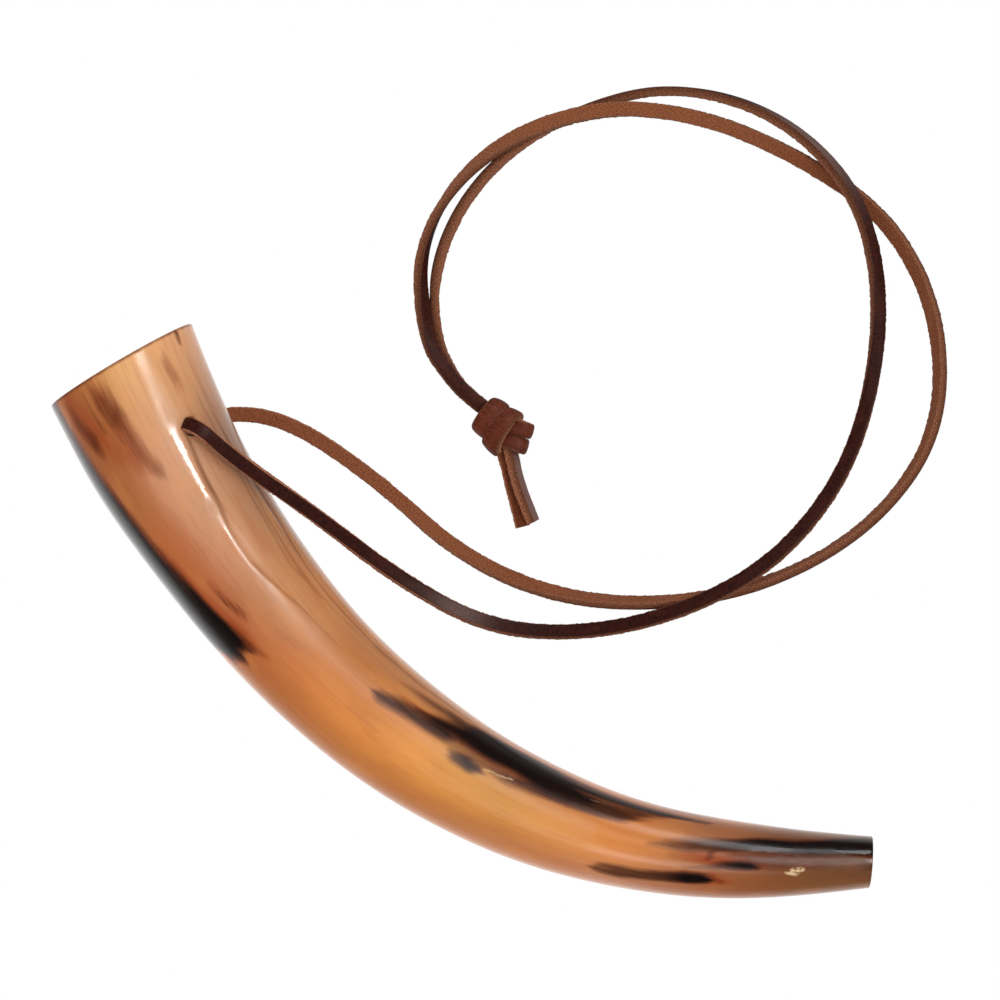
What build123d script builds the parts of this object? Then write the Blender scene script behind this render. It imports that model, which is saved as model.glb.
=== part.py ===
from build123d import *
import math
import os

# A blowing horn made from one natural horn, with a leather lace through two holes near the bell.
# Millimetres. The horn lies on its side on the plane z = 0. +X runs from the bell inwards, +Y is the
# side that the horn curves towards, and the origin is the bottom centre of the horn's own box.

# Horn: stations along the centreline, seen from above.
# x and y from the bell's centre, heading of the centreline in degrees, half width, wall thickness.
BELL_CENTRE = (-139.8, -54.0)
STATIONS = [
    (-8.0, 1.2, -9.0, 27.2, 2.6),
    (30.0, -2.9, -3.0, 25.7, 3.0),
    (66.0, -2.2, 4.0, 23.6, 3.4),
    (116.5, 4.8, 13.5, 21.3, 4.0),
    (164.6, 21.9, 25.5, 19.5, 5.3),
    (199.2, 42.3, 36.0, 17.4, 7.0),
    (230.1, 69.9, 47.5, 14.8, 11.2),
    (255.2, 103.3, 57.0, 12.0, None),
    (272.4, 131.7, 60.8, 8.7, None),
    (277.8, 141.4, 61.0, 7.7, None),
]
HOLLOW_STATIONS = 7  # the natural hollow ends at this station, and the horn is solid beyond it
TIP_STATION = 8  # where the tip is cut off flat
HEIGHT_RATIO = 0.97  # the section is slightly flatter than it is wide

# Mouthpiece
THROAT_RADIUS = 3.0
CUP_RADIUS = 6.4
CUP_DEPTH = 7.0
CUP_BULGE = 0.8  # how far the cup's side bows out from a straight cone
LIP_CHAMFER = 0.6

# Lace holes: distance from the bell, and the angle round the section from the top
LACE_HOLE_RADIUS = 3.2
FRONT_HOLE = (30.0, 33.0)
REAR_HOLE = (28.0, 135.0)

# Lace: a flat 5 x 3 mm lace, here as a round tube of about the same section
LACE_RADIUS = 2.2
LACE_INSET = 8.0  # how far inside the outer wall each strand meets the inner span
INNER_RUN = 10.0  # straight run of the inner span away from each hole
EXIT_RUN = 6.5  # how far each strand stands out of its hole before it turns

# The strands' routes after they have left their holes, ending just inside the knot
FRONT_ROUTE = [
    (-97.0, -34.0, 45.0),
    (-64.0, -22.0, 29.5),
    (-30.0, -12.0, 10.0),
    (-2.0, 7.0, 2.3),
    (18.0, 35.0, 2.3),
    (29.0, 68.0, 7.6),
    (29.0, 103.0, 7.6),
    (17.0, 135.0, 2.3),
    (-5.0, 162.0, 2.3),
    (-34.0, 183.0, 7.6),
    (-67.0, 190.0, 7.6),
    (-101.0, 179.0, 2.3),
    (-128.0, 155.0, 2.3),
    (-137.0, 124.0, 2.3),
    (-136.0, 87.0, 2.3),
    (-122.0, 57.0, 2.3),
    (-95.0, 38.0, 2.3),
    (-78.0, 42.6, 4.0),
    (-64.9, 45.9, 4.0),
]
REAR_ROUTE = [
    (-97.0, -16.0, 2.3),
    (-64.0, 0.0, 2.3),
    (-28.0, 12.0, 2.3),
    (2.0, 34.0, 2.3),
    (24.0, 64.0, 2.3),
    (36.0, 101.0, 2.3),
    (35.0, 140.0, 2.3),
    (19.0, 172.0, 2.3),
    (-15.0, 194.0, 2.3),
    (-52.0, 196.0, 2.3),
    (-86.0, 179.0, 2.3),
    (-115.0, 156.0, 7.6),
    (-137.0, 126.0, 8.6),
    (-142.0, 87.0, 4.6),
    (-127.0, 52.0, 6.0),
    (-95.0, 34.5, 7.6),
    (-77.5, 39.8, 8.6),
    (-64.3, 43.3, 8.6),
]

# Knot: the outline of a doubled overhand knot seen from above, from its own centre and turned by
# KNOT_HEADING. The strands enter at its left side, and the tails leave at its lower right side.
KNOT_CENTRE = (-58.4, 44.8)
KNOT_HEADING = 25.7
KNOT_OUTLINE = [(-8.8, -4.9), (-6.4, 6.9), (9.8, 7.0), (12.4, -1.8), (5.1, -10.2), (-3.0, -9.0)]
KNOT_HEIGHT = 12.6
KNOT_EDGE_RADIUS = 1.4
KNOT_CORNER_RADIUS = 1.6

TAIL_ROUTES = {
    "lace_tail_left": [(-50.4, 40.8, 4.0), (-38.0, 37.5, 3.2), (-25.0, 34.2, 2.3)],
    "lace_tail_right": [(-49.2, 45.5, 4.0), (-37.0, 42.2, 3.2), (-24.6, 38.9, 2.3)],
}


def direction(heading, lift=0.0):
    """A unit vector from its heading round Z and its lift above the table, in degrees."""
    h = math.radians(heading)
    e = math.radians(lift)
    return Vector(math.cos(h) * math.cos(e), math.sin(h) * math.cos(e), math.sin(e))


def section_plane(station):
    """The upright plane square to the centreline: local X points to the inside of the curve, Y up."""
    x, y, heading, half_width, _ = station
    centre = (BELL_CENTRE[0] + x, BELL_CENTRE[1] + y, half_width * HEIGHT_RATIO)
    return Plane(origin=centre, x_dir=direction(heading + 90), z_dir=direction(heading))


def section(station, inset=0.0):
    half_width = station[3]
    return section_plane(station) * Ellipse(half_width - inset, half_width * HEIGHT_RATIO - inset)


def station_at(distance):
    """The station at a distance from the bell, between the first two that are beside it."""
    for a, b in zip(STATIONS, STATIONS[1:]):
        if a[0] <= distance <= b[0]:
            t = (distance - a[0]) / (b[0] - a[0])
            return tuple(p + (q - p) * t for p, q in zip(a, b))


def hole_at(distance, angle):
    """The point on the outer wall and the outward direction of a lace hole."""
    station = station_at(distance)
    plane = section_plane(station)
    half_width = station[3]
    half_height = half_width * HEIGHT_RATIO
    side = math.sin(math.radians(angle))
    up = math.cos(math.radians(angle))
    point = plane.origin + plane.x_dir * (half_width * side) + plane.y_dir * (half_height * up)
    outward = plane.x_dir * (side / half_width) + plane.y_dir * (up / half_height)
    return point, outward.normalized()


def throat_axis():
    """The throat's mouth at the tip and its direction out of the tip."""
    tip = section_plane(STATIONS[TIP_STATION]).origin
    hollow_end = section_plane(STATIONS[HOLLOW_STATIONS - 1]).origin
    return tip, hollow_end, (tip - hollow_end).normalized()


def mouthpiece(tip, hollow_end, outward):
    """The drilled throat and the cup, as the solid that is cut away."""
    length = (tip - hollow_end).length
    half = CUP_DEPTH / 2
    middle = (CUP_RADIUS + THROAT_RADIUS) / 2 + CUP_BULGE
    side = ThreePointArc((CUP_RADIUS, 0), (middle, -half), (THROAT_RADIUS, -CUP_DEPTH))
    lip = CUP_RADIUS + LIP_CHAMFER
    profile = side + Polyline(
        (THROAT_RADIUS, -CUP_DEPTH),
        (THROAT_RADIUS, -length - 1),
        (0, -length - 1),
        (0, LIP_CHAMFER),
        (lip + LIP_CHAMFER, LIP_CHAMFER),
        (CUP_RADIUS, 0),
    )
    face = Plane.XZ * make_face(profile)
    return Plane(origin=tip, z_dir=outward) * revolve(face, axis=Axis.Z)


def horn():
    tip, hollow_end, outward = throat_axis()
    body = loft([section(s) for s in STATIONS])
    rim = Plane(origin=(BELL_CENTRE[0], 0, 0), x_dir=(0, 1, 0), z_dir=(1, 0, 0))
    body = split(body, bisect_by=rim, keep=Keep.TOP)
    body = split(body, bisect_by=Plane(origin=tip, z_dir=outward), keep=Keep.BOTTOM)
    hollow = loft([section(s, s[4]) for s in STATIONS[:HOLLOW_STATIONS]])
    body -= hollow
    body -= mouthpiece(tip, hollow_end, outward)
    for distance, angle in (FRONT_HOLE, REAR_HOLE):
        point, away = hole_at(distance, angle)
        drill = Cylinder(LACE_HOLE_RADIUS, 2 * LACE_INSET)
        body -= Plane(origin=point, z_dir=away) * drill
    return body


def corner_radii(points):
    """Each corner's arc: 0.45 of its shorter run, over the tangent of half its turn."""
    radii = []
    for a, b, c in zip(points, points[1:], points[2:]):
        turn = math.radians((b - a).get_angle(c - b))
        radii.append(0.45 * min((b - a).length, (c - b).length) / math.tan(turn / 2))
    return radii


def tube(name, points):
    """A round tube along straight runs joined by tangent arcs."""
    points = [Vector(*p) for p in points]
    radii = corner_radii(points)
    path = FilletPolyline(*points, radius=radii)
    start = Plane(origin=path @ 0, z_dir=path % 0)
    solid = sweep(start * Circle(LACE_RADIUS), path=path)
    expected = math.pi * LACE_RADIUS**2 * path.length
    print(f"{name}: length {path.length:.1f}, volume / (section x length) {solid.volume / expected:.4f}")
    print("  radii", " ".join(f"{r:.0f}" for r in radii))
    return solid


def knot():
    plane = Plane(origin=(*KNOT_CENTRE, 0), x_dir=direction(KNOT_HEADING), z_dir=(0, 0, 1))
    solid = extrude(plane * make_face(Polyline(*KNOT_OUTLINE, close=True)), KNOT_HEIGHT)
    solid = fillet(solid.edges().filter_by(Axis.Z), KNOT_CORNER_RADIUS)
    return fillet(solid.edges().group_by(Axis.Z)[0] + solid.edges().group_by(Axis.Z)[-1], KNOT_EDGE_RADIUS)


def strand(name, hole, route, knot_solid):
    """One strand, from inside the bell through its hole and along its route to the knot."""
    point, away = hole_at(*hole)
    start = [point - away * LACE_INSET, point + away * EXIT_RUN]
    return tube(name, start + route) - knot_solid


def inner_span():
    """The stretch of lace inside the bell, from the front hole to the rear one."""
    front, front_away = hole_at(*FRONT_HOLE)
    rear, rear_away = hole_at(*REAR_HOLE)
    inset = LACE_INSET + INNER_RUN
    points = [
        front - front_away * LACE_INSET,
        front - front_away * inset,
        rear - rear_away * inset,
        rear - rear_away * LACE_INSET,
    ]
    return tube("lace_inner_span", points)


def main():
    os.makedirs("parts", exist_ok=True)
    knot_solid = knot()
    parts = {
        "horn": horn(),
        "lace_front_strand": strand("lace_front_strand", FRONT_HOLE, FRONT_ROUTE, knot_solid),
        "lace_rear_strand": strand("lace_rear_strand", REAR_HOLE, REAR_ROUTE, knot_solid),
        "lace_inner_span": inner_span(),
        "lace_knot": knot_solid,
    }
    for name, route in TAIL_ROUTES.items():
        parts[name] = tube(name, route) - knot_solid
    for name, part in parts.items():
        export_step(part, f"parts/{name}.step")
    box = parts["horn"].bounding_box()
    print("horn box", box.min, box.max, "centre", box.center())


main()
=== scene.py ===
import math

import bmesh
import bpy
import numpy as np
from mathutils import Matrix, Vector
from mathutils.kdtree import KDTree


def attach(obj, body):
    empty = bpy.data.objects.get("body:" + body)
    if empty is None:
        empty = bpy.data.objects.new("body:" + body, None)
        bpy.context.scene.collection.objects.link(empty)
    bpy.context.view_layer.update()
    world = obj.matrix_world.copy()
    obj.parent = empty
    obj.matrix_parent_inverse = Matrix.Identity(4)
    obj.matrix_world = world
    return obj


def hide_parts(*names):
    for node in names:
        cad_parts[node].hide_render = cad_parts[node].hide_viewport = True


# A polished horn with a leather carrying lace, laid on a pale table and seen from above.
# Lengths here are in millimetres, as in the CAD part, and MM turns them into Blender's metres.
MM = 0.001
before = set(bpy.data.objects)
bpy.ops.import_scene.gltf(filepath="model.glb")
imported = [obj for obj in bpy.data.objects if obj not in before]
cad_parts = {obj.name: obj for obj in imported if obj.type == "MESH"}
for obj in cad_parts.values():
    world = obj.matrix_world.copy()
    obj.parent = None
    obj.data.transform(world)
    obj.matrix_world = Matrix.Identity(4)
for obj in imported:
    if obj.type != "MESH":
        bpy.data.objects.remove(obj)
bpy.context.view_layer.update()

# Camera: over the middle of the whole lace, looking straight down
VIEW_CENTRE = (-36.5, 32.1)
VIEW_HEIGHT = 1500.0
VIEW_WIDTH = 340.0
VIEW_TURN = 59.4  # degrees round Z
SENSOR = 36.0

# Horn: the CAD part's stations. x and y from the bell's centre, heading, half width, wall thickness
# (the last three stations are solid).
BELL_CENTRE = (-139.8, -54.0)
STATIONS = np.array([
    (-8.0, 1.2, -9.0, 27.2, 2.6),
    (30.0, -2.9, -3.0, 25.7, 3.0),
    (66.0, -2.2, 4.0, 23.6, 3.4),
    (116.5, 4.8, 13.5, 21.3, 4.0),
    (164.6, 21.9, 25.5, 19.5, 5.3),
    (199.2, 42.3, 36.0, 17.4, 7.0),
    (230.1, 69.9, 47.5, 14.8, 11.2),
    (255.2, 103.3, 57.0, 12.0, 0.0),
    (272.4, 131.7, 60.8, 8.7, 0.0),
    (277.8, 141.4, 61.0, 7.7, 0.0),
])
HOLLOW_STATIONS = 7
TIP_STATION = 8
HEIGHT_RATIO = 0.97
THROAT_RADIUS = 3.0
CUP_RADIUS = 6.4
CUP_DEPTH = 7.0
CUP_BULGE = 0.8
RIM_ROUND = 0.5  # the edges of the rim, the tip and the cup's lip are broken by hand
TIP_ROUND = 0.35
LIP_ROUND = 0.4
RIM_X = BELL_CENTRE[0] + RIM_ROUND  # where the rim's rounding starts

# Lace holes: distance from the bell, angle round the section from the top
FRONT_HOLE = (30.0, 33.0)
REAR_HOLE = (28.0, 135.0)
HOLE_RADIUS = 3.2
HOLE_FLARE = 0.3
HOLE_SHOULDER = 1.4  # depth of the flare
DRILL_IN = 13.0  # how far the drill reaches inside and outside the outer wall
DRILL_OUT = 6.0

# Mesh density of the horn: points in a ring, rings of the outer wall and of the hollow, and rows of the
# surfaces that they are picked from
ROUND = 200
OUTER_ROWS = 380
INNER_ROWS = 56
DENSE_ROWS = 2400

# Lace: a flat strip cut from one hide, grain side and flesh side
LACE_WIDTH = 5.0
LACE_THICKNESS = 3.1
LACE_INSET = 8.0  # how far inside the outer wall each strand meets the inner span
LACE_STEP = 0.42  # distance between two rings of a strand
KNOT_STEP = 0.4
# The front strand's first stretch is folded over its hole's edge, round this axis, and eases out of it
FOLD_AXIS = (-0.47, 0.86, -0.20)
FOLD_LENGTH = 12.0
FOLD_EASE = 14.0
# The strands' first points, inside their holes, and their routes from there into the knot
FRONT_START = [(-110.8, -47.4, 39.2), (-111.9, -42.6, 52.2)]
REAR_START = [(-111.1, -44.0, 13.1), (-110.5, -34.0, 2.7)]
FRONT_ROUTE = [
    (-94.4, -36.9, 43.8),
    (-63.6, -23.4, 27.0),
    (-30.7, -10.8, 8.4),
    (-1.0, 6.6, 2.3),
    (17.9, 34.6, 2.3),
    (28.1, 68.5, 8.0),
    (28.7, 102.6, 8.0),
    (16.9, 135.4, 2.3),
    (-5.2, 161.1, 2.2),
    (-35.2, 181.1, 8.4),
    (-67.2, 189.3, 8.4),
    (-101.6, 180.1, 2.9),
    (-127.5, 154.9, 2.6),
    (-137.2, 123.8, 2.7),
    (-136.7, 87.4, 2.8),
    (-121.0, 57.2, 2.8),
    (-95.4, 40.2, 3.0),
    (-80.0, 39.1, 3.1),
    (-72.0, 40.9, 3.2),
    (-64.4, 44.0, 3.8),
]
REAR_ROUTE = [
    (-96.9, -16.0, 1.7),
    (-64.0, -0.3, 1.8),
    (-26.7, 10.9, 2.7),
    (2.7, 32.4, 3.0),
    (24.0, 64.2, 2.85),
    (35.9, 101.2, 2.85),
    (34.9, 139.7, 2.9),
    (19.3, 172.7, 2.95),
    (-14.9, 192.6, 2.7),
    (-51.9, 194.6, 2.3),
    (-85.8, 178.6, 1.9),
    (-115.1, 155.9, 8.0),
    (-135.7, 126.2, 8.8),
    (-141.6, 86.2, 4.8),
    (-126.8, 52.9, 6.0),
    (-95.6, 37.7, 6.5),
    (-80.0, 38.9, 6.8),
    (-72.0, 40.9, 7.0),
    (-64.3, 44.0, 7.2),
]
# How each strand is rolled about its own line: distance from its start, degrees that the grain side
# leans from the top towards the outside of the loop.
FRONT_ROLL = [
    (0, -6), (24, 0), (32, 6), (46, 9), (62, -2), (84, -10), (120, -14), (211, -15), (266, -15), (300, -8),
    (325, 12), (349, 31), (377, 46), (410, 66), (444, 84), (511, 102), (560, 104), (576, 70), (590, 20),
    (612, 4),
]
REAR_ROLL = [
    (0, 180), (60, 180), (100, 165), (125, 150), (145, 135), (172, 120), (228, 103), (260, 104),
    (287, 110), (315, 120), (346, 137), (368, 150), (389, 158), (415, 166), (444, 173), (465, 180),
    (501, 202), (519, 232), (545, 272), (563, 294), (577, 314), (590, 338), (604, 352), (624, 358),
]


def hex_colour(text):
    """A linear RGBA colour from the usual six-digit notation."""
    parts = [int(text[i : i + 2], 16) / 255 for i in (1, 3, 5)]
    linear = [p / 12.92 if p <= 0.04045 else ((p + 0.055) / 1.055) ** 2.4 for p in parts]
    return (*linear, 1.0)


def smooth_step(x):
    x = np.clip(x, 0, 1)
    return x * x * (3 - 2 * x)


def unit(vectors):
    return vectors / np.linalg.norm(vectors, axis=-1, keepdims=True)


def directions(line):
    """Unit vectors along a line, one at each of its points."""
    return unit(np.gradient(line, axis=0))


def grid_faces(rows, columns, closed=False):
    """Quads between closed rings of points. closed joins the last ring to the first as well."""
    faces = []
    for i in range(rows if closed else rows - 1):
        a = i * columns
        b = ((i + 1) % rows) * columns
        for j in range(columns):
            k = (j + 1) % columns
            faces.append((a + j, a + k, b + k, b + j))
    return faces


def add_object(name, data):
    item = bpy.data.objects.new(name, data)
    bpy.context.scene.collection.objects.link(item)
    return item


def mesh_piece(name, points, faces):
    """A smooth mesh object from points in millimetres, with its normals outwards."""
    mesh = bpy.data.meshes.new(name)
    mesh.from_pydata((np.asarray(points) * MM).tolist(), [], faces)
    work = bmesh.new()
    work.from_mesh(mesh)
    bmesh.ops.recalc_face_normals(work, faces=work.faces)
    work.to_mesh(mesh)
    work.free()
    mesh.polygons.foreach_set("use_smooth", [True] * len(mesh.polygons))
    return add_object(name, mesh)


def store(piece, name, *columns):
    """Writes columns of values for each point of a piece's mesh, a vector or a colour for its material."""
    values = np.column_stack(columns)
    field, kind = {3: ("vector", "FLOAT_VECTOR"), 4: ("color", "FLOAT_COLOR")}[values.shape[1]]
    attribute = piece.data.attributes.new(name, kind, "POINT")
    attribute.data.foreach_set(field, np.ascontiguousarray(values, dtype=np.float32).ravel())


# ---- shape of the horn


def spline_weights(knots, at):
    """Weights of a natural cubic spline: weights @ values at the knots gives the values at `at`."""
    count = len(knots)
    gap = np.diff(knots)
    left = np.eye(count)
    right = np.zeros((count, count))
    for i in range(1, count - 1):
        left[i, i - 1 : i + 2] = gap[i - 1], 2 * (gap[i - 1] + gap[i]), gap[i]
        right[i, i - 1 : i + 2] = 6 / gap[i - 1], -6 / gap[i - 1] - 6 / gap[i], 6 / gap[i]
    bend = np.linalg.solve(left, right)
    i = np.clip(np.searchsorted(knots, at) - 1, 0, count - 2)
    h = gap[i]
    t = (at - knots[i]) / h
    rows = np.arange(len(at))
    weights = np.zeros((len(at), count))
    weights[rows, i] += 1 - t
    weights[rows, i + 1] += t
    weights += (((1 - t) ** 3 - (1 - t)) * h * h / 6)[:, None] * bend[i]
    weights += ((t**3 - t) * h * h / 6)[:, None] * bend[i + 1]
    return weights


def chord(points):
    return np.concatenate([[0], np.cumsum(np.linalg.norm(np.diff(points, axis=0), axis=1))])


def sideways(heading):
    """Unit vectors towards the inside of the horn's curve, from headings in radians."""
    return np.stack([-np.sin(heading), np.cos(heading), np.zeros_like(heading)], axis=-1)


def section_points(stations, inset, angles):
    """Points round each station's upright section, angle 0 at the top and 90 on the inside."""
    side = sideways(np.radians(stations[:, 2]))
    half_width = stations[:, 3]
    height = half_width * HEIGHT_RATIO
    centre = np.column_stack([stations[:, :2] + BELL_CENTRE, height])
    across = (half_width - inset)[:, None] * np.sin(angles)
    up = (height - inset)[:, None] * np.cos(angles)
    points = centre[:, None] + side[:, None] * across[..., None]
    points[..., 2] += up
    return points


def skin(stations, inset, angles):
    """A dense, smooth surface through the stations' sections, as rows of points."""
    knots = chord(stations[:, :2])
    weights = spline_weights(knots, np.linspace(0, knots[-1], DENSE_ROWS))
    return np.tensordot(weights, section_points(stations, inset, angles), axes=1)


def between(dense, start_side, end_side, rows):
    """Even rows between two cutting planes, given each dense point's distance past them."""
    result = np.zeros((rows, dense.shape[1], 3))
    index = np.arange(len(dense))
    for j in range(dense.shape[1]):
        start = np.interp(0, start_side[:, j], index)
        end = np.interp(0, end_side[:, j], index)
        at = np.linspace(start, end, rows)
        for k in range(3):
            result[:, j, k] = np.interp(at, index, dense[:, j, k])
    return result


class Centreline:
    """The line down the middle of the horn, by distance from the rim."""

    def __init__(self):
        knots = chord(STATIONS[:, :2])
        rows = spline_weights(knots, np.linspace(0, knots[-1], DENSE_ROWS)) @ STATIONS
        self.points = rows[:, :2] + BELL_CENTRE
        along = chord(self.points)
        self.distance = along - np.interp(BELL_CENTRE[0], self.points[:, 0], along)
        self.heading = np.radians(rows[:, 2])
        self.half_width = rows[:, 3]
        self.tree = KDTree(len(rows))
        for i, (x, y) in enumerate(self.points):
            self.tree.insert((x, y, 0), i)
        self.tree.balance()

    def place(self, points):
        """For each point: distance from the rim, degrees from the top, radius as a share of the outer
        wall's, and half width."""
        nearest = np.array([self.tree.find((x, y, 0))[1] for x, y, _ in points])
        heading = self.heading[nearest]
        half_width = self.half_width[nearest]
        offset = points[:, :2] - self.points[nearest]
        ahead = offset[:, 0] * np.cos(heading) + offset[:, 1] * np.sin(heading)
        across = -offset[:, 0] * np.sin(heading) + offset[:, 1] * np.cos(heading)
        up = points[:, 2] / HEIGHT_RATIO - half_width
        angle = np.degrees(np.arctan2(across, up))
        return self.distance[nearest] + ahead, angle, np.hypot(across, up) / half_width, half_width


def path_runs(distance, angle, scale, path, stretch=1.0):
    """For each run of a path: its ends, each point's place along it from 0 to 1, and the gap to it.

    A path's points start with distance and angle, and scale is in millimetres for each degree. stretch
    below 1 makes the gap smaller along the horn.
    """
    for start, end in zip(path, path[1:]):
        run = (end[0] - start[0]) * stretch
        rise = (end[1] - start[1]) * scale
        along = (distance - start[0]) * stretch
        aside = (angle - start[1]) * scale
        t = np.clip((along * run + aside * rise) / (run * run + rise * rise + 1e-9), 0, 1)
        yield start, end, t, np.hypot(along - t * run, aside - t * rise)


# The crease that starts at the front hole and wanders along the inside of the curve: distance, degrees
CREASE = np.array([
    (24, 28), (30, 25.5), (40, 22), (50, 20), (60, 18.5), (67, 16), (74, 15), (80, 15), (86, 18), (92, 22),
    (100, 25), (110, 27), (125, 28), (140, 30),
])
CREASE_FALL = 0.36  # the horn's surface is this much lower on the crease's inner side
# A shallow groove lower down on that side: distance, degrees, half width
GROOVE = [(50, 62, 0.4), (60, 65, 0.6), (75, 66, 0.6), (84, 63, 0.4), (100, 60, 0.3), (125, 61, 0.2)]
GROOVE_DEPTH = 0.25
# Waves over the whole horn: height, distance for one radian, radians for each radian round it, phase
WAVES = [(0.10, 19, 1, 0.0), (0.06, 9.5, -2, 1.3), (0.05, 40, 5, 0.0)]
# Low swellings: height, distance from the rim and its spread, degrees from the top, spread round the horn
SWELLINGS = [(0.22, 57, 5, 14, 5), (0.25, 243, 12, -30, 5)]


def relief(distance, angle, half_width):
    """What the worked surface of a natural horn adds to the plain shape."""
    scale = half_width * math.pi / 180
    waves = sum(height * np.sin(distance / length + np.radians(angle) * turns + phase)
                for height, length, turns, phase in WAVES)
    swelling = sum(height * np.exp(-0.5 * ((distance - at) / spread) ** 2
                                   - 0.5 * ((angle - degrees) * scale / breadth) ** 2)
                   for height, at, spread, degrees, breadth in SWELLINGS)
    aside = (angle - np.interp(distance, CREASE[:, 0], CREASE[:, 1])) * scale
    fall = CREASE_FALL * smooth_step((aside + 0.9) / 2.8) * (1 - smooth_step((aside - 5) / 18))
    fall *= smooth_step((distance - 20) / 12) * smooth_step((150 - distance) / 60)
    inside = np.full(len(distance), -1e3)
    for start, end, t, gap in path_runs(distance, angle, scale, GROOVE):
        inside = np.maximum(inside, start[2] + (end[2] - start[2]) * t - gap)
    groove = GROOVE_DEPTH * smooth_step((inside + 1.2) / 1.8)
    near_ends = smooth_step((distance - 4) / 14) * smooth_step((318 - distance) / 20)
    return (waves + swelling - fall - groove) * near_ends


def tip_frame(angles):
    """The tip's middle, the hollow's end, the throat's direction and the direction of the tip's face."""
    tip = section_points(STATIONS[TIP_STATION : TIP_STATION + 1], 0, angles)[0].mean(axis=0)
    last = STATIONS[HOLLOW_STATIONS - 1 : HOLLOW_STATIONS]
    hollow_end = section_points(last, 0, angles)[0].mean(axis=0)
    outward = unit(tip - hollow_end)
    face = unit(outward * (1, 1, 0))  # the tip is cut off upright
    return tip, hollow_end, outward, face


def outer_rings(line, angles, tip, face):
    """The outer wall from the rim to the tip, with the worked surface's relief."""
    dense = skin(STATIONS, 0.0, angles)
    outer = between(dense, dense[..., 0] - RIM_X, (dense - tip) @ face + TIP_ROUND, OUTER_ROWS)
    flat = outer.reshape(-1, 3)
    distance, angle, _, half_width = line.place(flat)
    turn = np.radians(angle)
    away = sideways(np.interp(distance, line.distance, line.heading)) * np.sin(turn)[:, None]
    away[:, 2] = np.cos(turn)
    lift = relief(distance, angle, half_width)
    lift *= smooth_step((170 - np.abs(angle)) / 25)  # the underside, where the horn rests, stays plain
    return (flat + away * lift[:, None]).reshape(outer.shape)


def mouthpiece_rings(angles, tip, hollow_end, outward, face):
    """The cup's lip, the cup and the throat, from the tip's face to the hollow."""
    side = sideways(np.radians(STATIONS[TIP_STATION, 2]))
    across = unit(side - outward * (side @ outward))
    up = np.cross(outward, across)
    up *= np.sign(up[2])
    circle = across * np.sin(angles)[:, None] + up * np.cos(angles)[:, None]

    def ring(radius, depth):
        points = circle * radius
        lean = points @ face / (outward @ face) * max(0, 1 - depth / CUP_DEPTH)
        return tip + points - outward * (depth + lean[:, None])

    rings = []
    for a in np.radians([0, 30, 60, 90]):
        depth = LIP_ROUND - LIP_ROUND * math.cos(a)
        rings.append(ring(CUP_RADIUS + LIP_ROUND - LIP_ROUND * math.sin(a), depth))
    for t in np.linspace(0.1, 1, 12):
        radius = CUP_RADIUS + (THROAT_RADIUS - CUP_RADIUS) * t + 4 * CUP_BULGE * t * (1 - t)
        rings.append(ring(radius, CUP_DEPTH * t))
    length = float(np.linalg.norm(tip - hollow_end))
    for depth in np.linspace(CUP_DEPTH, length, 10)[1:]:
        rings.append(ring(THROAT_RADIUS, depth))
    return rings


def hollow_rings(angles):
    """The natural hollow, from its end to the rim."""
    stations = STATIONS[:HOLLOW_STATIONS]
    dense = skin(stations, stations[:, 4], angles)
    past_end = np.arange(DENSE_ROWS)[:, None] - (DENSE_ROWS - 1.0) + np.zeros(ROUND)
    return between(dense, dense[..., 0] - RIM_X, past_end, INNER_ROWS)[::-1]


def rounded(ring, inwards, outwards, radius):
    """Three rings round a broken edge, from beside a wall's last ring to the face across it."""
    return [ring + inwards * radius * (1 - math.cos(a)) + outwards * radius * math.sin(a)
            for a in np.radians([30, 60, 90])]


def horn_rings(line):
    """Every ring of the horn's skin, in order: outside, tip face, cup, throat, hollow and rim."""
    angles = np.arange(ROUND) * 2 * math.pi / ROUND
    tip, hollow_end, outward, face = tip_frame(angles)
    outer = outer_rings(line, angles, tip, face)
    rings = [*outer, *rounded(outer[-1], unit(tip - face * TIP_ROUND - outer[-1]), face, TIP_ROUND)]
    mouthpiece = mouthpiece_rings(angles, tip, hollow_end, outward, face)
    rings += [rings[-1] * 0.5 + mouthpiece[0] * 0.5, *mouthpiece]
    hollow = hollow_rings(angles)
    towards = unit(hollow[-1] - outer[0])
    back = np.array([-1.0, 0.0, 0.0])
    rings += [*hollow, *rounded(hollow[-1], -towards, back, RIM_ROUND)]
    rings += rounded(outer[0], towards, back, RIM_ROUND)[::-1]
    return np.array(rings)


def hole_at(distance, angle):
    """The point on the outer wall and the outward direction of a lace hole, as the CAD part has it."""
    table = STATIONS[:, 0]
    station = np.array([[np.interp(distance, table, STATIONS[:, k]) for k in range(5)]])
    turn = math.radians(angle)
    point = section_points(station, 0, np.array([turn]))[0, 0]
    side = sideways(np.radians(station[0, 2]))
    away = side * math.sin(turn) + np.array([0, 0, math.cos(turn) / HEIGHT_RATIO])
    return point, unit(away)


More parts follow.
